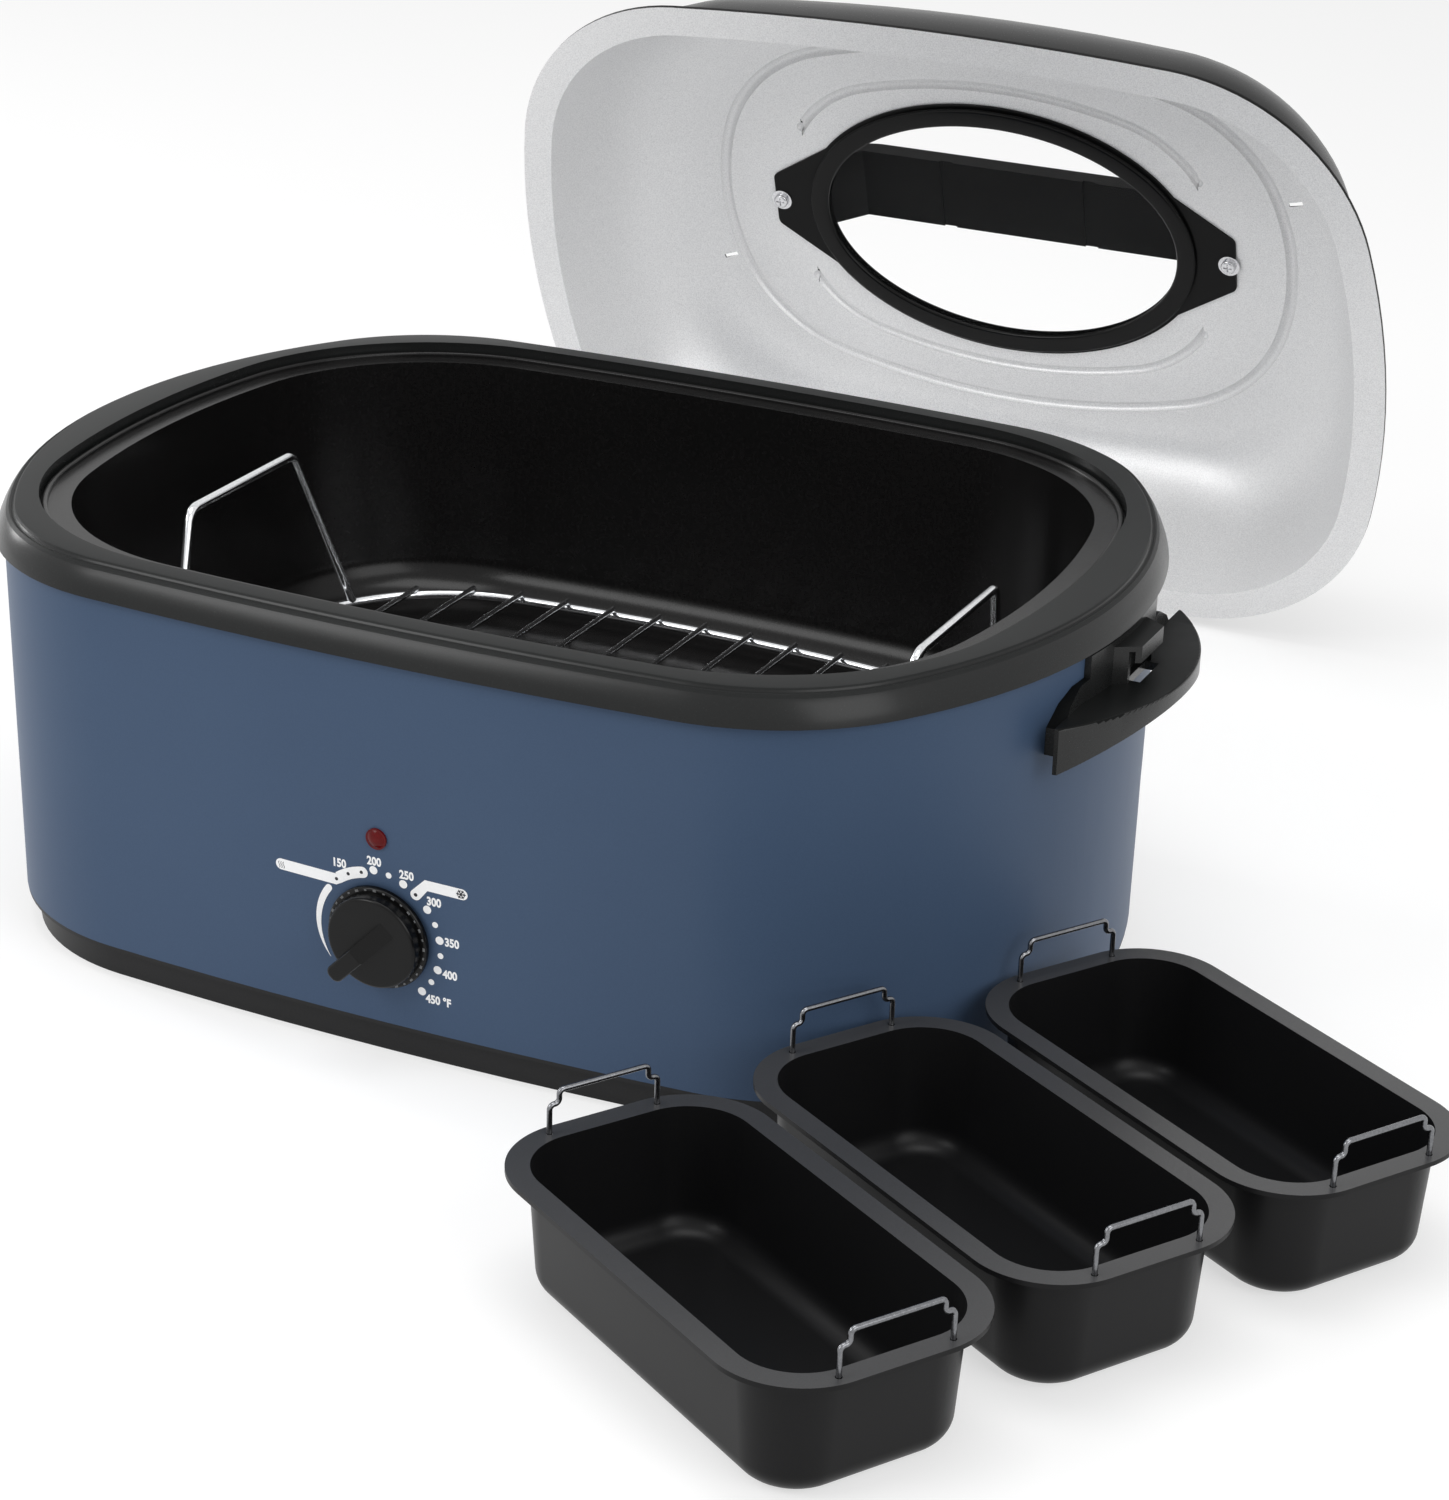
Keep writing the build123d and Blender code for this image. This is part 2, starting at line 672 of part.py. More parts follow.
def side_handle():
    low = handle_low_z
    plate_under = handle_top_z - handle_sheet
    body = segment(handle_arc, handle_chord, handle_half, low, handle_top_z)
    outer_edge = body.edges().group_by(Axis.Z)[-1].sort_by(SortBy.LENGTH)[-1]
    body = fillet(outer_edge, 1.2)
    inner_arc = handle_arc - handle_sheet
    body -= segment(inner_arc, handle_chord + handle_back, handle_half, low - 1, plate_under)
    body += back_plate()
    body -= Pos(0, 0, -69) * Rot(0, 90, 0) * Cylinder(240, 900)
    hook = hook_prism(0, plate_under + 1, hook_top_z)
    hook -= hook_prism(-2.0, plate_under, hook_top_z - 2.5)
    hook -= box(hook_slot[0] + 2, hook_reach - 2.5, -40, 40, plate_under, hook_top_z - 2.5)
    hook -= box(hook_slot[0] + 2, hook_reach + 1, -40, 40, plate_under, hook_top_z - 8)
    body += hook
    for y in (-handle_screw_y, handle_screw_y):
        body += rod_x(262, 288, y, handle_screw_z, 4.5)
    body -= box(hook_slot[0], hook_slot[1], -13, 13, plate_under - 6, handle_top_z + 1)
    body -= shell_solid(low - 3, 202, slip_gap)
    for y in (-handle_screw_y, handle_screw_y):
        body -= rod_x(262, 285, y, handle_screw_z, handle_screw_radius + slip_gap)
    return body


def handle_screws():
    screws = Part()
    for y in (-handle_screw_y, handle_screw_y):
        inner = end_x_at(handle_screw_z, y) - shell_sheet - 0.8
        screws += rod_x(inner, inner + 12, y, handle_screw_z, handle_screw_radius)
        screws += rod_x(inner - 2.4, inner, y, handle_screw_z, 2 * handle_screw_radius)
        screws -= box(inner - 3, inner - 1.4, y - 2.4, y + 2.4, handle_screw_z - 0.4, handle_screw_z + 0.4)
        screws -= box(inner - 3, inner - 1.4, y - 0.4, y + 0.4, handle_screw_z - 2.4, handle_screw_z + 2.4)
    return screws + mirror(screws, Plane.YZ)


# Insert pan: rolled edge, flat flange and a tapered well with a rounded foot
def insert_pan():
    out = pan_wall_inset - pan_sheet
    under = pan_floor_z - pan_sheet
    low = inset(opening_outline, out + pan_taper)
    high = inset(opening_outline, out)
    pan = rounded_foot(stack([(low, under), (high, pan_flange_z)]), pan_bend + pan_sheet)
    edge = inset(opening_outline, 1.0)
    pan += slab(edge, pan_flange_z, pan_flange_z + pan_sheet)
    roll = slab(edge, pan_flange_z, pan_flange_z + pan_roll_height)
    roll -= slab(inset(edge, pan_roll), pan_flange_z - 1, pan_flange_z + pan_roll_height + 1)
    pan += fillet(roll.edges().group_by(Axis.Z)[-1], 1.3)
    hollow = stack([(inset(low, pan_sheet), pan_floor_z),
                    (inset(high, pan_sheet), pan_flange_z + pan_sheet + 0.01)])
    pan -= rounded_foot(hollow, pan_bend)
    return pan


# Roasting rack: a ring with three long bars and feet, the cross wires, and the two lift handles
def rack_frame():
    rack = loop_of(rack_outline, rack_z, rack_wire)
    for y in (-75.0, 0.0, 75.0):
        heading = [h for h in range(0, 91) if on_outline(rack_outline, h)[1] >= abs(y)][0]
        reach = on_outline(rack_outline, heading)[0]
        rack += rod_x(-reach, reach, y, rack_z, rack_wire * 0.8)
    for x in (-120.0, 120.0):
        for y in (-75.0, 75.0):
            foot = pan_floor_z + seat_gap
            rack += rod(x, y, foot + 2, rack_z, rack_wire)
            rack += Pos(x, y, foot + rack_wire) * Sphere(rack_wire)
    return rack


def rack_grid():
    wires = Part()
    for k in range(-6, 7):
        x = grid_pitch * k
        heading = [h for h in range(90, -1, -1) if on_outline(rack_outline, h)[0] >= abs(x)][0]
        reach = on_outline(rack_outline, heading)[1]
        wires += rod_y(-reach, reach, x, rack_z + rack_wire + grid_wire + weld_gap, grid_wire)
    return wires


def rack_handle(side):
    foot_x, foot_y = on_outline(rack_outline, 32)
    foot = Vector(side * foot_x, foot_y, rack_z)
    shoulder = Vector(side * grip_x, grip_half, grip_z)
    start = foot + (shoulder - foot).normalized() * rack_wire * 0.6
    points = [(start.X, start.Y, start.Z), (shoulder.X, shoulder.Y, shoulder.Z),
              (shoulder.X, -shoulder.Y, shoulder.Z), (start.X, -start.Y, start.Z)]
    return bent_tube(points, rack_wire, 9) - loop_of(rack_outline, rack_z, rack_wire)


# Lid
def dome_levels(depth):
    levels = []
    shoulder = inset(lid_outline, lid_flange + depth)
    top = inset(plateau_outline, depth)
    for step in range(13):
        turn = radians(7.5 * step)
        levels.append((between(shoulder, top, 1 - cos(turn)), (lid_height - depth) * sin(turn)))
    return levels


ridge_shape = ((1.0, 0.0), (0.8, 0.45), (0.5, 0.8), (0.02, 1.0))


def ridge(outline, half, height, z):
    outer = [(inset(outline, -half * width), z + height * rise) for width, rise in ridge_shape]
    inner = [(inset(outline, half * width), z + height * rise) for width, rise in ridge_shape]
    return stack(outer) - stack(inner)


def ridge_end(half, height, z):
    rings = [Pos(0, 0, z + height * rise) * Circle(half * width) for width, rise in ridge_shape]
    return Part() + Solid.make_loft([ring.wire() for ring in rings], ruled=True)


def crossing(outline, x):
    # Where the outline passes this x in the first quarter.
    low = 0.0
    high = 90.0
    for step in range(30):
        middle = (low + high) / 2
        if on_outline(outline, middle)[0] > x:
            low = middle
        else:
            high = middle
    return on_outline(outline, low)


def ridge_arcs(half, height, z, reach):
    # The long stretches of the inner ridge, each with two rounded ends.
    wide = 2 * inner_ridge_outline[1]
    arcs = ridge(inner_ridge_outline, half, height, z)
    arcs = arcs & box(-reach, reach, -wide, wide, lid_cut_low, lid_cut_high)
    x, y = crossing(inner_ridge_outline, reach)
    for spot in ((x, y), (-x, y), (-x, -y), (x, -y)):
        arcs += Pos(spot[0], spot[1], 0) * ridge_end(half, height, z)
    return arcs


def pressed_ridges():
    top = lid_height - 0.05
    under = lid_height - lid_sheet - 0.05
    reach = window_half[0] + 14.0
    outside = ridge(ridge_outline, 4.4, 3.2, top)
    inside = ridge(ridge_outline, 3.6, 3.2, under)
    outside += ridge_arcs(3.8, 2.8, top, reach)
    inside += ridge_arcs(3.1, 2.8, under, reach)
    return outside, inside


def disc_of(grow, low, high):
    return Pos(0, 0, low) * extrude(Ellipse(window_half[0] + grow, window_half[1] + grow), high - low)


def lid_place(shape):
    return Location(lid_rest, (-lid_tilt, 0, 0)) * shape


sheet_edge = gasket_lip + gasket_web
plate_low = lid_height - lid_sheet - plate_sheet


def lid_shell():
    levels = dome_levels(0)
    shell = stack(levels)
    shell += slab(lid_outline, 0, lid_sheet)
    roll = slab(lid_outline, 0, 2.4) - slab(inset(lid_outline, 2.6), -1, 4)
    shell += roll
    inner = dome_levels(lid_sheet)
    shell -= stack(inner)
    outside, inside = pressed_ridges()
    shell += outside
    shell -= inside
    shell -= disc_of(sheet_edge, lid_cut_low, lid_cut_high)
    for side in (-1, 1):
        shell -= rod(side * lid_screw_x, 0, lid_cut_low, lid_cut_high, 2.2)
        spot = Location((side * 185, -side * 48, lid_height - 15), (0, 0, -18))
        shell -= spot * Box(9, 2.5, 40)
    return shell


def lid_inner_plate():
    foot = lid_screw_x + 4.0
    waist = window_half[0] - 6.0
    spots = [(foot, -17), (foot, 17), (waist, plate_waist), (-waist, plate_waist)]
    spots += [(-x, -y) for x, y in spots]
    edges = [Line(spots[k], spots[(k + 1) % 8]).edge() for k in range(8)]
    plate = extrude(make_face(Wire(edges).edges()), plate_sheet)
    plate = fillet(plate.edges().filter_by(Axis.Z), 5)
    plate = Pos(0, 0, plate_low) * plate
    plate += disc_of(sheet_edge + 7, plate_low, plate_low + plate_sheet)
    plate -= disc_of(sheet_edge, lid_cut_low, lid_cut_high)
    for side in (-1, 1):
        plate -= rod(side * lid_screw_x, 0, lid_cut_low, lid_cut_high, 2.2)
    return plate


def window_gasket():
    low = plate_low - 3.0
    high = lid_height + 3.0
    whole = disc_of(sheet_edge + gasket_outer, low, high)
    whole -= disc_of(0, low - 1, high + 1)
    whole = fillet(whole.edges().group_by(Axis.Z)[0], 2.0)
    whole = fillet(whole.edges().group_by(Axis.Z)[-1], 2.0)
    slot = disc_of(sheet_edge + gasket_outer + 2, plate_low - 0.05, lid_height + 0.05)
    slot -= disc_of(sheet_edge - slip_gap, plate_low - 1, lid_height + 1)
    whole -= slot
    middle = (plate_low + lid_height) / 2
    half = glass_sheet / 2 + 0.05
    whole -= disc_of(gasket_lip + slip_gap, middle - half, middle + half)
    return whole


def lid_glass():
    middle = (plate_low + lid_height) / 2
    pane = disc_of(gasket_lip, middle - glass_sheet / 2, middle + glass_sheet / 2)
    return pane


def lid_handle():
    low = lid_height
    under = low + strap_under
    top = under + strap_sheet
    foot_in = lid_screw_x - strap_foot
    foot_out = lid_screw_x + strap_foot
    right = [Line((foot_in, low), (foot_in, low + 3)), Line((foot_in, low + 3), (foot_in - 29, under)),
             Line((foot_in - 29, under), (50, under)), Line((50, under), (50, under + 1.2)),
             Line((50, under + 1.2), (42, under + 1.2)), Line((42, under + 1.2), (42, under))]
    crown = ThreePointArc((foot_in - 38, top), (foot_in - 22, top - 4), (foot_in - 9, top - 13))
    outer = [Line((0, top), (foot_in - 38, top)), crown, Line((foot_in - 9, top - 13), (foot_out, low + 4)),
             Line((foot_out, low + 4), (foot_out, low)), Line((foot_out, low), (foot_in, low))]
    edges = [part.edge() for part in outer + right] + [Line((42, under), (0, under)).edge()]
    edges.append(Line((0, under), (0, top)).edge())
    half = make_face(Wire(edges).edges())
    half = Plane(origin=(0, 0, 0), x_dir=(1, 0, 0), z_dir=(0, -1, 0)) * half
    half = extrude(half, strap_half, both=True)
    strap = half + mirror(half, Plane.YZ)
    for side in (-1, 1):
        strap -= rod(side * lid_screw_x, 0, low - 1, low + 13, 2.1)
    return strap


def lid_screws():
    screws = Part()
    head = plate_low - 1.0
    for side in (-1, 1):
        x = side * lid_screw_x
        cap = rod(x, 0, head - 2.6, head, 4.4)
        cap = fillet(cap.edges().group_by(Axis.Z)[0], 1.3)
        cap -= box(x - 2.6, x + 2.6, -0.5, 0.5, head - 4, head - 1.4)
        cap -= box(x - 0.5, x + 0.5, -2.6, 2.6, head - 4, head - 1.4)
        screws += cap + rod(x, 0, head, lid_height + 12, 2.0)
    return screws


def lid_washers():
    washers = Part()
    for side in (-1, 1):
        x = side * lid_screw_x
        washers += rod(x, 0, plate_low - 1.0, plate_low, 6.5) - rod(x, 0, lid_cut_low, lid_cut_high, 2.2)
    return washers


# Buffet pans and their wire bails, in a frame with the long side along x
def tray_wire(shrink, z):
    length, width, bend = buffet_size
    face = Pos(0, 0, z) * RectangleRounded(length - 2 * shrink, width - 2 * shrink, bend - shrink)
    return face.wire()


def tray_stack(levels):
    return Part() + Solid.make_loft([tray_wire(shrink, z) for shrink, z in levels], ruled=True)


def buffet_pan():
    top = buffet_height
    under = top - buffet_sheet
    low = buffet_flange + buffet_taper
    pan = rounded_foot(tray_stack([(low, 0), (buffet_flange, under)]), buffet_bend)
    pan += tray_stack([(0, under), (0, top)])
    lip = tray_stack([(0, under - 1.4), (0, under)])
    pan += lip - tray_stack([(buffet_lip, under - 2), (buffet_lip, under)])
    hollow = tray_stack([(low + buffet_sheet, buffet_sheet), (buffet_flange + buffet_sheet, top + 0.01)])
    pan -= rounded_foot(hollow, buffet_bend - buffet_sheet)
    for x in (-bail_x, bail_x):
        for y in (-bail_half, bail_half):
            pan -= rod(x, y, under - 1, top + 1, bail_wire + seat_gap)
    return pan


def bail(end):
    # Its legs slide in the flange's holes. The feet stop it above and the steps stop it below.
    x = end * bail_x
    low = buffet_height - buffet_sheet - seat_gap - bail_bend
    step_z = buffet_height + bail_rise
    points = []
    for side in (1, -1):
        outer = side * bail_half
        inner = side * (bail_half - bail_step)
        leg = [(x, side * (bail_half - bail_foot), low), (x, outer, low), (x, outer, step_z),
               (x, inner, step_z), (x, inner, step_z + bail_head)]
        points += leg if side == 1 else leg[::-1]
    return bent_tube(points, bail_wire, bail_bend)


def buffet_place(place, shape):
    # Its place in the row across, and how far it is shifted along its own length.
    order, shift = place
    along_x = cos(radians(buffet_yaw))
    along_y = sin(radians(buffet_yaw))
    near_x, near_y = on_outline(shell_at(buffet_height), buffet_yaw)
    reach = near_x * along_x + near_y * along_y
    along = reach + buffet_clear + buffet_size[0] / 2 + shift
    across = buffet_row + order * (buffet_size[1] + buffet_gap)
    spot = (along * along_x - across * along_y, along * along_y + across * along_x, 0)
    return Location(spot, (0, 0, buffet_yaw)) * shape


handle = side_handle()
save(outer_shell(), "outer_shell")
save(base_tray(), "base_tray")
save(rubber_pads(), "rubber_pads")
save(base_screws(), "base_screws")
save(base_brackets(), "base_brackets")
save(heat_shield(), "heat_shield")
save(top_rim(), "top_rim")
save(cooking_well(), "cooking_well")
save(insulation_wrap(), "insulation_wrap")
save(heating_element(), "heating_element")
save(element_clips(), "element_clips")
save(thermostat_body(), "thermostat_body")
save(thermostat_bracket(), "thermostat_bracket")
save(thermostat_bulb(), "thermostat_bulb")
save(knob_shaft(), "knob_shaft")
save(control_knob(), "control_knob")
save(indicator_lens(), "indicator_lens")
save(neon_lamp(), "neon_lamp")
save(cord_gland(), "cord_gland")
save(terminal_block(), "terminal_block")
save(wiring_leads(), "wiring_leads")
save(handle, "right_handle")
save(mirror(handle, Plane.YZ), "left_handle")
save(handle_screws(), "handle_screws")
save(insert_pan(), "insert_pan")
save(rack_frame(), "roasting_rack")
save(rack_grid(), "rack_grid")
save(rack_handle(1), "rack_right_handle")
save(rack_handle(-1), "rack_left_handle")
save(lid_place(lid_shell()), "lid_shell")
save(lid_place(lid_inner_plate()), "lid_inner_plate")
save(lid_place(window_gasket()), "window_gasket")
save(lid_place(lid_glass()), "lid_glass")
save(lid_place(lid_handle()), "lid_handle")
save(lid_place(lid_screws()), "lid_screws")
save(lid_place(lid_washers()), "lid_washers")
tray = buffet_pan()
back_bail = bail(-1)
front_bail = bail(1)
for name, place in buffet_places.items():
    save(buffet_place(place, tray), "buffet_pan_" + name)
    save(buffet_place(place, back_bail), "bail_" + name + "_back")
    save(buffet_place(place, front_bail), "bail_" + name + "_front")
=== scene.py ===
import bpy
import bmesh
import math
from mathutils import Matrix, Vector


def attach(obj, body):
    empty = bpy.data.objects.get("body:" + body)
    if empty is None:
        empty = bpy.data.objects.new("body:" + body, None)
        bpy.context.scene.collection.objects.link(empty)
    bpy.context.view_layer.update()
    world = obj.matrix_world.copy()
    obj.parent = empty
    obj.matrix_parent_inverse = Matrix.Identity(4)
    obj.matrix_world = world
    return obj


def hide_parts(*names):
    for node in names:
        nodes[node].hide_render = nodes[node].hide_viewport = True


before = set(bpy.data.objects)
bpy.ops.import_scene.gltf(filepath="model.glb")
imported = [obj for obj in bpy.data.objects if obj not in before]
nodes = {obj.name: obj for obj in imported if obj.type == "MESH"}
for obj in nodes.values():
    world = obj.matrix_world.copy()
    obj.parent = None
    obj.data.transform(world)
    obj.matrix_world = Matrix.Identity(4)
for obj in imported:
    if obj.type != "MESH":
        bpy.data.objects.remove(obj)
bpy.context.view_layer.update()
scene = bpy.context.scene
print("frame loaded,", len(nodes), "solids")


# the viewpoint comes first: degrees, metres, and millimetres for the lens and the sensor
viewpoint = {
    "azimuth": 24.69, "elevation": 23.19, "roll": 1.71,
    "distance": 1.81052, "target": (0.07939, -0.00463, 0.098),
    "lens": 89.964, "sensor": 36, "near": 0.05, "far": 60,
}


def placeCamera():
    azimuth = math.radians(viewpoint["azimuth"])
    elevation = math.radians(viewpoint["elevation"])
    roll = math.radians(viewpoint["roll"])
    back = Vector((math.sin(azimuth) * math.cos(elevation),
                   -math.cos(azimuth) * math.cos(elevation),
                   math.sin(elevation)))
    right = Vector((0, 0, 1)).cross(back).normalized()
    up = back.cross(right)
    turnedRight = math.cos(roll) * right + math.sin(roll) * up
    turnedUp = math.cos(roll) * up - math.sin(roll) * right
    data = bpy.data.cameras.new("camera")
    data.sensor_fit = "VERTICAL"
    data.sensor_height = viewpoint["sensor"]
    data.lens = viewpoint["lens"]
    data.clip_start = viewpoint["near"]
    data.clip_end = viewpoint["far"]
    camera = bpy.data.objects.new("camera", data)
    scene.collection.objects.link(camera)
    place = Matrix((turnedRight, turnedUp, back)).transposed().to_4x4()
    place.translation = Vector(viewpoint["target"]) + back * viewpoint["distance"]
    camera.matrix_world = place
    scene.camera = camera


placeCamera()
scene.view_settings.view_transform = "Standard"
print("camera placed")


# a socket that can be used in sums, so a pattern reads as arithmetic
class Wire:
    def __init__(self, graph, socket):
        self.graph = graph
        self.socket = socket

    def math(self, operation, first, second):
        return self.graph.add("ShaderNodeMath", {"operation": operation}, {0: first, 1: second})

    def __add__(self, other):
        return self.math("ADD", self, other)

    def __sub__(self, other):
        return self.math("SUBTRACT", self, other)

    def __rsub__(self, other):
        return self.math("SUBTRACT", other, self)

    def __mul__(self, other):
        return self.math("MULTIPLY", self, other)

    def __mod__(self, other):
        return self.math("FLOORED_MODULO", self, other)

    __radd__ = __add__
    __rmul__ = __mul__


class Graph:
    def __init__(self, tree):
        self.tree = tree

    def add(self, kind, settings=None, sockets=None, pick=0):
        # every node comes from here: its settings first, then the values or links of its sockets
        node = self.tree.nodes.new(kind)
        for name, value in (settings or {}).items():
            if name == "stops":
                ramp = node.color_ramp
                while len(ramp.elements) < len(value):
                    ramp.elements.new(0.5)
                for element, (place, shade) in zip(ramp.elements, value):
                    element.position = place
                    element.color = (shade, shade, shade, 1)
            else:
                setattr(node, name, value)
        for name, value in (sockets or {}).items():
            if isinstance(value, Wire):
                self.tree.links.new(value.socket, node.inputs[name])
            else:
                node.inputs[name].default_value = value
        return Wire(self, node.outputs[pick]) if node.outputs else node


def fromScreen(red, green, blue):
    # a colour of 0 to 255, as a screen shows it, to the linear values a shader takes
    values = []
    for value in (red, green, blue):
        share = value / 255
        values.append(share / 12.92 if share <= 0.04045 else ((share + 0.055) / 1.055) ** 2.4)
    return (*values, 1)


class Finish(Graph):
    # one material: a Principled shader whose colour, roughness and bump carry a fine pattern
    def __init__(self, name, plain):
        self.material = bpy.data.materials.new(name)
        self.material.use_nodes = True
        super().__init__(self.material.node_tree)
        self.tree.nodes.clear()
        self.shader = self.add("ShaderNodeBsdfPrincipled", None, plain)
        self.output = self.add("ShaderNodeOutputMaterial", None, {0: self.shader})
        self.place = self.add("ShaderNodeTexCoord", pick="Object")

    def noise(self, scale, detail, rough=0.5, stretch=(1, 1, 1)):
        spot = self.add("ShaderNodeMapping", None, {"Vector": self.place, "Scale": stretch})
        return self.add("ShaderNodeTexNoise", None,
                        {"Vector": spot, "Scale": scale, "Detail": detail, "Roughness": rough})

    def blend(self, low, high, mask):
        # the colour sockets of a Mix node are its inputs 6 and 7 and its output 2
        return self.add("ShaderNodeMix", {"data_type": "RGBA"}, {0: mask, 6: low, 7: high}, 2)

    def drive(self, socket, wire):
        self.tree.links.new(wire.socket, self.shader.socket.node.inputs[socket])

    def bump(self, height, depth):
        raised = self.add("ShaderNodeBump", None, {"Height": height, "Distance": depth})
        self.drive("Normal", raised)


# what all the finishes have in common
grainSettings = {"broadScale": 7, "detail": 3, "rough": 0.6, "coatRough": 0.12}


def surface(name, low, high, rough, scale=900, spread=0.04, depth=0.00002, metal=0.0, coat=0.0,
            gloss=0.5, stretch=(1, 1, 1), sharp=(0.35, 0.65), drift=0.4, **plain):
    # a finish whose colour drifts between two shades with a fine grain over it
    values = {"Metallic": metal, "Coat Weight": coat, "Coat Roughness": grainSettings["coatRough"],
              "Specular IOR Level": gloss}
    values.update(plain)
    finish = Finish(name, values)
    broad = finish.noise(grainSettings["broadScale"], grainSettings["detail"])
    grain = finish.noise(scale, grainSettings["detail"], grainSettings["rough"], stretch)
    mask = finish.add("ShaderNodeValToRGB", {"stops": ((sharp[0], 0), (sharp[1], 1))},
                      {0: grain * (1 - drift) + broad * drift})
    finish.drive("Base Color", finish.blend(fromScreen(*low), fromScreen(*high), mask))
    finish.drive("Roughness", (rough - spread) + grain * (2 * spread))
    finish.bump(grain, depth)
    return finish


# paints and mouldings of the roaster
shellPaint = surface("slateBluePaint", (65, 83, 109), (70, 89, 115), 0.42, scale=1400,
                     depth=0.000008, gloss=0.14)
trayPaint = surface("blackTrayPaint", (22, 22, 23), (30, 30, 31), 0.4, gloss=0.25)
# painted shade and sheen: the rim's top and skirt are one moulding in two copies, a dull top that
# reflects little and a darker, glossier skirt that catches highlights
rimTopPaintedShade = surface("rimTopMoulding", (32, 33, 33), (41, 42, 42), 0.38, scale=1800,
                 depth=0.000012, gloss=0.07)
rimSkirtPaintedSheen = surface("rimSkirtMoulding", (22, 23, 23), (31, 32, 32), 0.26, scale=1800,
                   depth=0.00001, gloss=0.24)
# painted shade and sheen: the side handles are one moulding in two copies, a darker, dull top and
# a glossier side that catches highlights
handleTopPaintedShade = surface("handleTopMoulding", (15, 16, 16), (23, 24, 24), 0.38, scale=1800,
                    depth=0.000012, gloss=0.05)
handleMoulding = surface("handleMoulding", (20, 21, 21), (28, 29, 29), 0.28, scale=1800,
                         depth=0.000012, gloss=0.4)
knobMoulding = surface("knobMoulding", (6, 6, 6), (13, 13, 13), 0.2, scale=1600,
                       depth=0.000004, gloss=0.2)
padRubber = surface("padRubber", (26, 26, 27), (38, 38, 38), 0.7, scale=700)
lensRed = surface("redLens", (84, 8, 10), (104, 15, 17), 0.12, scale=300, gloss=0.15)

# pans and their wires
panEnamel = surface("blackPanEnamel", (12, 12, 12), (20, 19, 19), 0.22, scale=500,
                    depth=0.00001, gloss=0.2)
buffetCoating = surface("darkPanCoating", (14, 14, 15), (22, 22, 23), 0.36, scale=2200,
                        depth=0.000012, gloss=0.16)
# painted sheen: the flange tops are painted much lighter than the rest of the same coating,
# standing in for the light they catch
buffetFlangePaintedSheen = surface("panFlangeCoating", (50, 50, 51), (62, 62, 63), 0.3, scale=2200,
                       depth=0.000012, gloss=0.4)
wireChrome = surface("wireChrome", (206, 207, 209), (232, 233, 235), 0.14, metal=1.0)
bailSteel = surface("darkWire", (104, 105, 108), (132, 133, 136), 0.24, metal=1.0)

# the lid
lidEnamel = surface("blackLidEnamel", (9, 9, 9), (16, 16, 16), 0.26, scale=600,
                    depth=0.000008, gloss=0.08)
lidLining = surface("speckledLining", (214, 214, 215), (246, 246, 246), 0.42, scale=1500,
                    spread=0.06, metal=0.28, sharp=(0.3, 0.62), drift=0.12)
plateEnamel = surface("blackPlateEnamel", (9, 9, 9), (16, 16, 16), 0.3, gloss=0.12)
gasketRubber = surface("gasketRubber", (7, 7, 7), (13, 13, 13), 0.22, scale=1200, gloss=0.16)
strapMoulding = surface("strapMoulding", (10, 10, 10), (17, 17, 17), 0.4, scale=1800,
                        depth=0.00001, gloss=0.05)
screwSteel = surface("screwSteel", (190, 190, 192), (220, 220, 222), 0.24, metal=1.0)

# what stands inside the shell
linerSteel = surface("linerSteel", (150, 151, 153), (176, 177, 179), 0.34, scale=300, metal=1.0,
                     stretch=(1, 1, 12))
zincSteel = surface("zincSteel", (150, 152, 150), (190, 191, 186), 0.38, scale=120, metal=1.0)
shieldMetal = surface("shieldMetal", (178, 179, 181), (200, 201, 203), 0.32, scale=200, metal=1.0,
                      stretch=(8, 1, 1))
elementSheath = surface("elementSheath", (72, 74, 72), (104, 104, 100), 0.45, scale=500, metal=0.8)
woolFibre = surface("mineralWool", (196, 186, 150), (226, 219, 190), 0.9, scale=220, depth=0.0006)
brownBakelite = surface("brownBakelite", (58, 36, 24), (76, 48, 32), 0.32, coat=0.2)
bulbCopper = surface("bulbCopper", (176, 104, 70), (206, 132, 94), 0.3, metal=1.0)
leadCover = surface("leadCover", (196, 188, 170), (222, 214, 196), 0.6, scale=1500,
                    depth=0.00008, stretch=(1, 1, 6))
lampGlass = surface("lampGlass", (236, 200, 176), (244, 214, 192), 0.08, scale=200, Alpha=0.35)

# print on the shell and the knob
printInk = surface("whitePrint", (250, 251, 252), (255, 255, 255), 0.5)
darkInk = surface("darkPrint", (22, 24, 30), (32, 34, 42), 0.5)
markInk = surface("knobMarks", (84, 85, 86), (128, 129, 130), 0.5)


# thin clear glass: mostly see-through, with a faint film that drifts over it
pane = {"tint": (0.6, 0.62, 0.62, 1), "filmScale": 14, "filmDetail": 4, "depth": 0.00001,
        "rough": 0.02, "smear": 0.05, "body": 0.003, "haze": 0.01}


def clearPane():
    finish = Finish("windowGlass", {"Base Color": pane["tint"]})
    film = finish.noise(pane["filmScale"], pane["filmDetail"])
    finish.drive("Roughness", pane["rough"] + film * pane["smear"])
    finish.drive("Alpha", pane["body"] + film * pane["haze"])
    finish.bump(film, pane["depth"])
    return finish


paneGlass = clearPane()
print("finishes made")


# every visible solid is merged and shaded smooth across its gentle edges
skin = {"mergeGap": 0.000002, "smoothAngle": 32}


def mergedCopy(name):
    mesh = nodes[name].data.copy()
    for spare in ("custom_normal", "sharp_face", "sharp_edge"):
        if spare in mesh.attributes:
            mesh.attributes.remove(mesh.attributes[spare])
    work = bmesh.new()
    work.from_mesh(mesh)
    bmesh.ops.remove_doubles(work, verts=work.verts, dist=skin["mergeGap"])
    return mesh, work


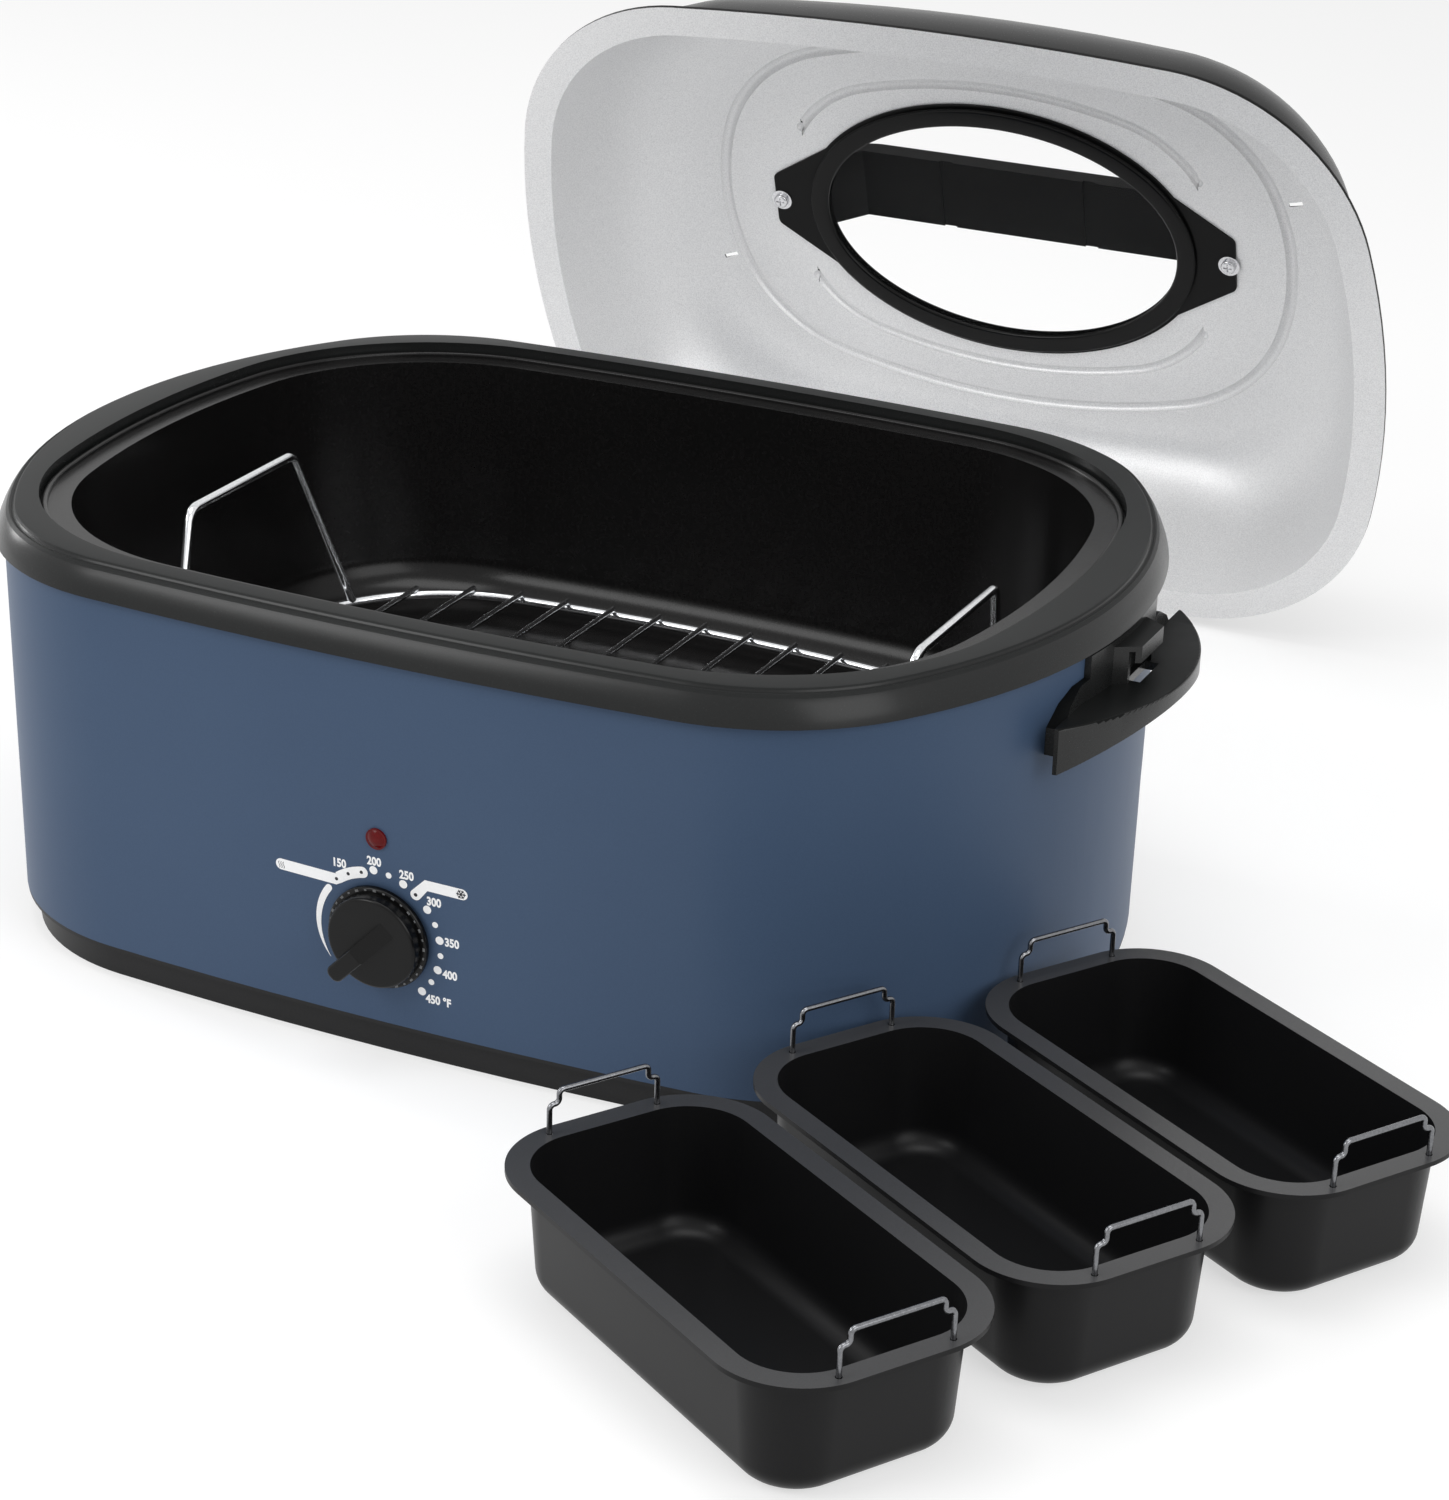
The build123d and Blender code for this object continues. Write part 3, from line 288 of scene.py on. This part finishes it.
def dress(name, body, finish, split=None, other=None):
    # faces that split picks take the other finish
    mesh, work = mergedCopy(name)
    limit = math.radians(skin["smoothAngle"])
    for face in work.faces:
        face.smooth = True
        face.material_index = 1 if split and split(face) else 0
    for edge in work.edges:
        edge.smooth = len(edge.link_faces) == 2 and edge.calc_face_angle(0) < limit
    mesh.materials.clear()
    mesh.materials.append(finish.material)
    if other:
        mesh.materials.append(other.material)
    work.to_mesh(mesh)
    work.free()
    mesh.name = name + "_skin"
    piece = bpy.data.objects.new(name + "_skin", mesh)
    scene.collection.objects.link(piece)
    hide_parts(name)
    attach(piece, body)


outfit = {
    "housing": {"outer_shell": shellPaint, "base_tray": trayPaint, "cooking_well": linerSteel,
                "indicator_lens": lensRed, "cord_gland": padRubber, "rubber_pads": padRubber},
    "knob": {"control_knob": knobMoulding},
    "insert_pan": {"insert_pan": panEnamel},
    "rack": {"roasting_rack": wireChrome, "rack_grid": wireChrome,
             "rack_left_handle": wireChrome, "rack_right_handle": wireChrome},
    "lid": {"lid_inner_plate": plateEnamel, "window_gasket": gasketRubber, "lid_glass": paneGlass,
            "lid_handle": strapMoulding, "lid_screws": screwSteel, "lid_washers": screwSteel},
}
for body, pieces in outfit.items():
    for name, finish in pieces.items():
        dress(name, body, finish)


# the rim and the side handles are split by which way their faces point: the tops take a duller
# copy of the moulding as painted shade, the sides a glossier copy as painted sheen
paintedShadeTopSettings = {"upward": 0.6}


def isPaintedShadeTop(face):
    return face.normal.z > paintedShadeTopSettings["upward"]


dress("top_rim", "housing", rimSkirtPaintedSheen, isPaintedShadeTop, rimTopPaintedShade)
for name in ("left_handle", "right_handle"):
    dress(name, "housing", handleMoulding, isPaintedShadeTop, handleTopPaintedShade)


# the lid is black outside and pale inside, told apart in the lid's own frame
lidSettings = {
    "rest": (0.0, 0.45, 0.183085), "tilt": -71.0,
    "heart": 0.03,  # height of a point under the dome that the lining looks at
    "roof": 0.095,  # above this the lining is all that looks down
    "flange": 0.003, "flangeSlope": 0.3,  # the rolled edge, and where its faces turn outwards
}


def liningFace():
    place = Matrix.Rotation(math.radians(lidSettings["tilt"]), 4, "X")
    place.translation = Vector(lidSettings["rest"])
    back = place.inverted()
    turn = back.to_3x3()
    heart = Vector((0, 0, lidSettings["heart"]))
    slope = lidSettings["flangeSlope"]

    def isLining(face):
        spot = back @ face.calc_center_median()
        normal = turn @ face.normal
        looksIn = (spot - heart).dot(normal) < 0
        if spot.z > lidSettings["roof"]:
            return normal.z < 0
        if spot.z < lidSettings["flange"]:
            return normal.z < -slope or (normal.z < slope and looksIn)
        return looksIn

    return isLining


dress("lid_shell", "lid", lidEnamel, liningFace(), lidLining)


# the flat tops of the buffet pans' flanges take a lighter, glossier copy of the coating: a painted
# sheen for the light they catch there
flangeSheenSettings = {"flange": 0.05, "upward": 0.7}


def isPaintedSheenFlange(face):
    high = face.calc_center_median().z > flangeSheenSettings["flange"]
    return high and face.normal.z > flangeSheenSettings["upward"]


for side in ("left", "middle", "right"):
    pan = "buffet_pan_" + side
    dress(pan, pan, buffetCoating, isPaintedSheenFlange, buffetFlangePaintedSheen)
    for end in ("back", "front"):
        bail = "bail_" + side + "_" + end
        dress(bail, bail, bailSteel)

# what stands inside, and the small screws, keep their own mesh and only take a finish
inside = {
    "insulation_wrap": woolFibre, "heating_element": elementSheath, "element_clips": zincSteel,
    "heat_shield": shieldMetal, "thermostat_body": brownBakelite, "thermostat_bracket": zincSteel,
    "thermostat_bulb": bulbCopper, "neon_lamp": lampGlass, "terminal_block": brownBakelite,
    "wiring_leads": leadCover, "base_brackets": zincSteel, "base_screws": screwSteel,
    "handle_screws": screwSteel, "knob_shaft": screwSteel,
}
for name, finish in inside.items():
    nodes[name].data.materials.clear()
    nodes[name].data.materials.append(finish.material)
print("solids dressed")


# the front face: millimetres across and up, turned into a place on the curved wall
wall = {"footZ": 17.2, "topZ": 204.8, "footHalf": 194.2, "grow": 12.0, "footRadius": 1984.0}
dial = {"across": -2.4, "up": 62.5, "radius": 32.9, "thick": 0.10, "lift": 0.06, "signGap": 0.04,
        "dotSides": 28, "capSteps": 10}
inkLift = dial["lift"] + dial["thick"]  # dark print lies on the white print
signLift = inkLift + dial["signGap"]
perMetre = 1000  # millimetres


def wallLean():
    return math.atan2(wall["grow"], wall["topZ"] - wall["footZ"])


def onWall(across, up, lift):
    share = (up - wall["footZ"]) / (wall["topZ"] - wall["footZ"])
    radius = wall["footRadius"] + wall["grow"] * share
    depth = wall["footHalf"] + wall["grow"] * share - radius + math.sqrt(radius ** 2 - across ** 2)
    lean = wallLean()
    out = Vector((across / radius, -math.cos(lean), -math.sin(lean)))
    return (Vector((across, -depth, up)) + out * lift) / perMetre


def pieceFrom(name, mesh, finish, body):
    mesh.materials.clear()
    mesh.materials.append(finish.material)
    mesh.polygons.foreach_set("use_smooth", [False] * len(mesh.polygons))
    piece = bpy.data.objects.new(name, mesh)
    scene.collection.objects.link(piece)
    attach(piece, body)


def plotted(name, flat, finish, lift):
    # a flat print, drawn in millimetres, cut in triangles and laid on the wall
    work = bmesh.new()
    work.from_mesh(flat)
    bmesh.ops.triangulate(work, faces=work.faces)
    bmesh.ops.recalc_face_normals(work, faces=work.faces)
    for vertex in work.verts:
        vertex.co = onWall(vertex.co.x, vertex.co.y, lift + vertex.co.z)
    bmesh.ops.recalc_face_normals(work, faces=work.faces)
    work.to_mesh(flat)
    work.free()
    pieceFrom(name, flat, finish, "housing")


# what the tree of marks can be told: the kind of each input and its first value
markInputs = {
    "Count": ("NodeSocketInt", 1), "Radius": ("NodeSocketFloat", 0),
    "Start": ("NodeSocketFloat", 0), "Step": ("NodeSocketFloat", 0),
    "Long": ("NodeSocketFloat", 1), "Wide": ("NodeSocketFloat", 1),
    "Small Share": ("NodeSocketFloat", 1), "Thick": ("NodeSocketFloat", 0.1),
    "Free Place": ("NodeSocketInt", -1), "Round": ("NodeSocketBool", True),
    "Finish": ("NodeSocketMaterial", None),
}


def marksTree():
    # marks set out along an arc, every second one smaller and one place left free
    tree = bpy.data.node_groups.new("marksOnArc", "GeometryNodeTree")
    graph = Graph(tree)
    for label, (kind, value) in markInputs.items():
        socket = tree.interface.new_socket(label, in_out="INPUT", socket_type=kind)
        if value is not None:
            socket.default_value = value
    tree.interface.new_socket("Marks", in_out="OUTPUT", socket_type="NodeSocketGeometry")
    given = graph.add("NodeGroupInput").socket.node
    put = {socket.name: Wire(graph, socket) for socket in given.outputs if socket.name}
    index = graph.add("GeometryNodeInputIndex")
    angle = put["Start"] + put["Step"] * index
    sine = graph.add("ShaderNodeMath", {"operation": "SINE"}, {0: angle})
    cosine = graph.add("ShaderNodeMath", {"operation": "COSINE"}, {0: angle})
    spot = graph.add("ShaderNodeCombineXYZ", None,
                     {0: sine * put["Radius"], 1: cosine * put["Radius"]})
    points = graph.add("GeometryNodePoints", None, {"Count": put["Count"], "Position": spot})
    free = graph.add("FunctionNodeCompare", {"data_type": "INT", "operation": "EQUAL"},
                     {2: index, 3: put["Free Place"]})
    turned = graph.add("ShaderNodeCombineXYZ", None, {2: angle * -1.0})
    size = 1.0 - (index % 2.0) * (1.0 - put["Small Share"])
    scale = graph.add("ShaderNodeCombineXYZ", None,
                      {0: size * put["Wide"], 1: size * put["Long"], 2: put["Thick"]})
    disc = graph.add("GeometryNodeMeshCylinder", None,  # both shapes are one unit wide
                     {"Vertices": dial["dotSides"], "Radius": 0.5, "Depth": 1.0})
    block = graph.add("GeometryNodeMeshCube")
    shape = graph.add("GeometryNodeSwitch", {"input_type": "GEOMETRY"},
                      {"Switch": put["Round"], "False": block, "True": disc})
    placed = graph.add("GeometryNodeInstanceOnPoints", None,
                       {"Points": points, "Selection": 1.0 - free, "Instance": shape,
                        "Rotation": turned, "Scale": scale})
    real = graph.add("GeometryNodeRealizeInstances", None, {0: placed})
    done = graph.add("GeometryNodeSetMaterial", None,
                     {"Geometry": real, "Material": put["Finish"]})
    graph.add("NodeGroupOutput", None, {0: done})
    return tree


arcTree = marksTree()


def marksMesh(**values):
    # smallShare sets the tree's input Small Share, and so on
    host = bpy.data.objects.new("marksHost", bpy.data.meshes.new("marksHost"))
    scene.collection.objects.link(host)
    modifier = host.modifiers.new("marks", "NODES")
    modifier.node_group = arcTree
    for item in arcTree.interface.items_tree:
        label = item.name[0].lower() + item.name[1:].replace(" ", "")
        if item.in_out == "INPUT" and label in values:
            modifier[item.identifier] = values[label]
    bpy.context.view_layer.update()
    seen = host.evaluated_get(bpy.context.evaluated_depsgraph_get())
    mesh = bpy.data.meshes.new_from_object(seen)
    bpy.data.objects.remove(host)
    return mesh


def shifted(mesh, across, up):
    for vertex in mesh.vertices:
        vertex.co.x += across
        vertex.co.y += up
    return mesh


def meshOf(name, work):
    mesh = bpy.data.meshes.new(name)
    work.to_mesh(mesh)
    work.free()
    return mesh


# the dial's dots, with the frost bar in the free place
dialMarks = {"count": 11, "start": -0.2, "step": 13.72, "big": 4.1, "small": 0.72, "free": 3}
dots = marksMesh(count=dialMarks["count"], radius=dial["radius"],
                 start=math.radians(dialMarks["start"]), step=math.radians(dialMarks["step"]),
                 long=dialMarks["big"], wide=dialMarks["big"], smallShare=dialMarks["small"],
                 thick=dial["thick"], freePlace=dialMarks["free"], round=True,
                 finish=printInk.material)
plotted("dial_dots", shifted(dots, dial["across"], dial["up"]), printInk, dial["lift"])


def sideways(along):
    return Vector((-along.y, along.x))


def roundCap(tip, before, width):
    # the half circle that closes a band at its tip
    along = (tip - before).normalized()
    side = sideways(along)
    turns = [math.pi * k / dial["capSteps"] for k in range(1, dial["capSteps"])]
    return [tip + width / 2 * (side * math.cos(turn) + along * math.sin(turn)) for turn in turns]


def ribbon(places, widths):
    # a band with round ends along a line in millimetres, with its own width at each point
    points = [Vector(place) for place in places]
    left, right = [], []
    for k, (point, width) in enumerate(zip(points, widths)):
        along = (points[min(k + 1, len(points) - 1)] - points[max(k - 1, 0)]).normalized()
        side = sideways(along)
        left.append(point + side * width / 2)
        right.append(point - side * width / 2)
    outline = left + roundCap(points[-1], points[-2], widths[-1])
    outline += right[::-1] + roundCap(points[0], points[1], widths[0])
    work = bmesh.new()
    face = work.faces.new([work.verts.new((p.x, p.y, 0)) for p in outline])
    lifted = bmesh.ops.extrude_face_region(work, geom=[face])
    for item in lifted["geom"]:
        if isinstance(item, bmesh.types.BMVert):
            item.co.z += dial["thick"]
    return meshOf("ribbon", work)


def onRing(degrees, radius):
    turn = math.radians(degrees)
    return (dial["across"] + radius * math.sin(turn), dial["up"] + radius * math.cos(turn))


def arcPoints(low, high, radius, steps):
    return [onRing(low + (high - low) * k / steps, radius) for k in range(steps + 1)]


# two white bars with dark dots, and an arc that fades out; degrees run clockwise from the top
bars = {
    "warmTail": (-51.6, 87.1), "warmWide": 5.6, "warmFrom": -40.0, "warmTo": -11.0,
    "warmIn": 1.8, "warmSteps": 8, "warmDots": (-39.4, -25.6, -12.0), "warmDotWide": 1.7,
    "frostAt": 40.0, "frostIn": -0.2, "frostBend": (24.4, 93.8), "frostTail": (42.6, 93.3),
    "frostWide": 5.4, "frostDotWide": 1.8,
    "fadeFrom": -52.5, "fadeTo": -125.0, "fadeIn": 2.5, "fadeSteps": 20,
    "fadeWide": 3.3, "fadePower": 1.9, "fadeTip": 0.1,
}
warmRing = dial["radius"] - bars["warmIn"]
warmLine = arcPoints(bars["warmFrom"], bars["warmTo"], warmRing, bars["warmSteps"])
warmLine.insert(0, bars["warmTail"])
plotted("dial_warm_bar", ribbon(warmLine, [bars["warmWide"]] * len(warmLine)), printInk,
        dial["lift"])
frostSpot = onRing(bars["frostAt"], dial["radius"] - bars["frostIn"])
frostLine = [frostSpot, bars["frostBend"], bars["frostTail"]]
plotted("dial_frost_bar", ribbon(frostLine, [bars["frostWide"]] * len(frostLine)), printInk,
        dial["lift"])
fadeLine = arcPoints(bars["fadeFrom"], bars["fadeTo"], dial["radius"] - bars["fadeIn"],
                     bars["fadeSteps"])
fadeShares = [(k / bars["fadeSteps"]) ** bars["fadePower"] for k in range(len(fadeLine))]
fadeWidths = [bars["fadeTip"] + bars["fadeWide"] * (1 - share) for share in fadeShares]
plotted("dial_fade_arc", ribbon(fadeLine, fadeWidths), printInk, dial["lift"])


# the temperatures: what each says, and its middle across and up
numbers = {
    "size": 5.8, "narrow": 0.84, "heavy": 0.036, "fineness": 4,
    "places": (("150", -20.4, 94.8), ("200", -2.0, 99.8), ("250", 14.5, 96.4),
               ("300", 28.0, 85.9), ("350", 36.4, 66.8), ("400", 34.8, 50.0),
               ("450 °F", 28.4, 35.2)),
}


def dialNumber(text, across, up):
    name = "dial_number_" + text.split()[0]
    curve = bpy.data.curves.new(name, "FONT")
    curve.body = text
    curve.size = numbers["size"]
    curve.align_x = "CENTER"
    curve.align_y = "CENTER"
    curve.extrude = dial["thick"] / 2
    curve.offset = numbers["heavy"] * numbers["size"]
    curve.resolution_u = numbers["fineness"]
    draft = bpy.data.objects.new(name + "_draft", curve)
    scene.collection.objects.link(draft)
    bpy.context.view_layer.update()
    seen = draft.evaluated_get(bpy.context.evaluated_depsgraph_get())
    mesh = bpy.data.meshes.new_from_object(seen)
    bpy.data.objects.remove(draft)
    for vertex in mesh.vertices:
        vertex.co.x *= numbers["narrow"]
    plotted(name, shifted(mesh, across, up), printInk, dial["lift"])


for text, across, up in numbers["places"]:
    dialNumber(text, across, up)


def inkDot(name, across, up, wide):
    spot = marksMesh(count=1, long=wide, wide=wide, thick=dial["thick"], round=True,
                     finish=darkInk.material)
    plotted(name, shifted(spot, across, up), darkInk, inkLift)


for k, degrees in enumerate(bars["warmDots"]):
    inkDot("dial_warm_dot_%d" % k, *onRing(degrees, warmRing), bars["warmDotWide"])
inkDot("dial_frost_dot", *frostSpot, bars["frostDotWide"])


# snow crystal: six arms with a pair of twigs each
crystal = {"across": 42.0, "up": 93.3, "arms": 6, "reach": 2.4, "wide": 0.55,
           "twigFrom": 1.2, "twigTo": 1.9, "twigOut": 0.8, "twigWide": 0.42}


def snowCrystal():
    work = bmesh.new()
    for k in range(crystal["arms"]):
        turn = math.radians(360 / crystal["arms"] * k)
        along = Vector((math.cos(turn), math.sin(turn)))
        fork, end = along * crystal["twigFrom"], along * crystal["twigTo"]
        out = sideways(along) * crystal["twigOut"]
        for start, stop, wide in ((Vector((0, 0)), along * crystal["reach"], crystal["wide"]),
                                  (fork, end + out, crystal["twigWide"]),
                                  (fork, end - out, crystal["twigWide"])):
            half = sideways((stop - start).normalized()) * wide / 2
            corners = (start - half, stop - half, stop + half, start + half)
            work.faces.new([work.verts.new((p.x, p.y, 0)) for p in corners])
    return meshOf("crystal", work)


plotted("dial_frost_icon", shifted(snowCrystal(), crystal["across"], crystal["up"]), darkInk,
        signLift)

# heat waves: upright lines that sway once over their height
waves = {"across": -51.4, "up": 86.8, "count": 3, "apart": 1.15, "sway": 0.32, "tall": 3.4,
         "half": 0.16, "steps": 12}


def heatWaves():
    work = bmesh.new()
    middle = (waves["count"] - 1) / 2
    for k in range(waves["count"]):
        rows = []
        for step in range(waves["steps"] + 1):
            share = step / waves["steps"]
            x = (k - middle) * waves["apart"] + waves["sway"] * math.sin(share * 2 * math.pi)
            y = (share - 0.5) * waves["tall"]
            rows.append([work.verts.new((x + edge, y, 0))
                         for edge in (-waves["half"], waves["half"])])
        for low, high in zip(rows, rows[1:]):
            work.faces.new((low[0], low[1], high[1], high[0]))
    return meshOf("waves", work)


plotted("dial_warm_icon", shifted(heatWaves(), waves["across"], waves["up"]), darkInk, signLift)
print("dial printed")


# dashes round the knob's skirt, every second one smaller
knobMarks = {"up": 63.0, "count": 32, "radius": 24.35, "out": 4.22, "long": 1.1, "wide": 1.7,
             "small": 0.7, "thick": 0.10}


def knobDashes():
    dashes = marksMesh(count=knobMarks["count"], radius=knobMarks["radius"],
                       step=2 * math.pi / knobMarks["count"], long=knobMarks["long"],
                       wide=knobMarks["wide"], smallShare=knobMarks["small"],
                       thick=knobMarks["thick"], round=False, finish=markInk.material)
    lean = wallLean()
    across = Vector((1, 0, 0))
    up = Vector((0, -math.sin(lean), math.cos(lean)))
    out = Vector((0, -math.cos(lean), -math.sin(lean)))
    centre = onWall(0, knobMarks["up"], 0)
    for vertex in dashes.vertices:
        x, y, z = vertex.co
        vertex.co = centre + (across * x + up * y + out * (knobMarks["out"] + z)) / perMetre
    pieceFrom("knob_dashes", dashes, markInk, "knob")


knobDashes()
print("knob marked")


# plain pale floor, white to the eye and soft grey in the shadow, and four soft lamps
studio = {
    "floor": 14.0, "drop": 0.0004,  # a hair under the feet
    "shade": 0.42, "glow": 0.62,  # what the eye sees of the floor
    "paint": 0.82, "rough": 0.86, "roughDrift": 0.08, "speckScale": 40, "speckDetail": 2,
    "world": 0.46,
}
lamps = {
    "keyLight": {"spot": (-1.6, -2.1, 2.0), "aim": (0.0, 0.0, 0.1), "size": (1.4, 1.1),
                 "watts": 27},
    "fillLight": {"spot": (2.4, -1.2, 1.5), "aim": (0.1, 0.0, 0.1), "size": (1.8, 1.8),
                  "watts": 25},
    "topLight": {"spot": (0.1, -0.3, 2.6), "aim": (0.1, 0.1, 0.1), "size": (1.8, 1.0),
                 "watts": 24},
    "sideLight": {"spot": (-2.3, 0.3, 1.0), "aim": (0.0, 0.0, 0.1), "size": (0.3, 1.2),
                  "watts": 13},
}


def grey(value):
    return (value, value, value, 1)


def seesWhite(graph):
    # 1 for the rays that should find the surroundings white
    eye, mirrored, through = (graph.add("ShaderNodeLightPath", pick="Is " + ray + " Ray")
                              for ray in ("Camera", "Glossy", "Transmission"))
    return graph.add("ShaderNodeMath", {"operation": "MAXIMUM"}, {0: eye + mirrored, 1: through})


def floorFinish():
    finish = Finish("paleFloor", {"Base Color": grey(studio["paint"])})
    speck = finish.noise(studio["speckScale"], studio["speckDetail"])
    finish.drive("Roughness", studio["rough"] + speck * studio["roughDrift"])
    shade = finish.add("ShaderNodeBsdfDiffuse", None, {"Color": grey(studio["shade"])})
    glow = finish.add("ShaderNodeEmission", None, {"Color": grey(1), "Strength": studio["glow"]})
    both = finish.add("ShaderNodeAddShader", None, {0: shade, 1: glow})
    mixed = finish.add("ShaderNodeMixShader", None,
                       {0: seesWhite(finish), 1: finish.shader, 2: both})
    finish.tree.links.new(mixed.socket, finish.output.inputs[0])
    return finish


def makeFloor():
    half, low = studio["floor"] / 2, -studio["drop"]
    corners = [(-half, -half, low), (half, -half, low), (half, half, low), (-half, half, low)]
    mesh = bpy.data.meshes.new("floor")
    mesh.from_pydata(corners, [], [(0, 1, 2, 3)])
    mesh.materials.append(floorFinish().material)
    floor = bpy.data.objects.new("floor", mesh)
    scene.collection.objects.link(floor)


def makeWorld():
    world = bpy.data.worlds.new("studio")
    world.use_nodes = True
    world.node_tree.nodes.clear()
    graph = Graph(world.node_tree)
    strength = studio["world"] + seesWhite(graph) * (1.0 - studio["world"])
    sky = graph.add("ShaderNodeBackground", None, {"Color": grey(1), "Strength": strength})
    graph.add("ShaderNodeOutputWorld", None, {0: sky})
    scene.world = world


def softLight(name, spot, aim, size, watts):
    data = bpy.data.lights.new(name, "AREA")
    data.shape = "RECTANGLE"
    data.size, data.size_y = size
    data.energy = watts
    lamp = bpy.data.objects.new(name, data)
    lamp.location = spot
    lamp.rotation_euler = (Vector(aim) - Vector(spot)).to_track_quat("-Z", "Y").to_euler()
    scene.collection.objects.link(lamp)


makeFloor()
makeWorld()
for name, settings in lamps.items():
    softLight(name, **settings)
print("studio lit")
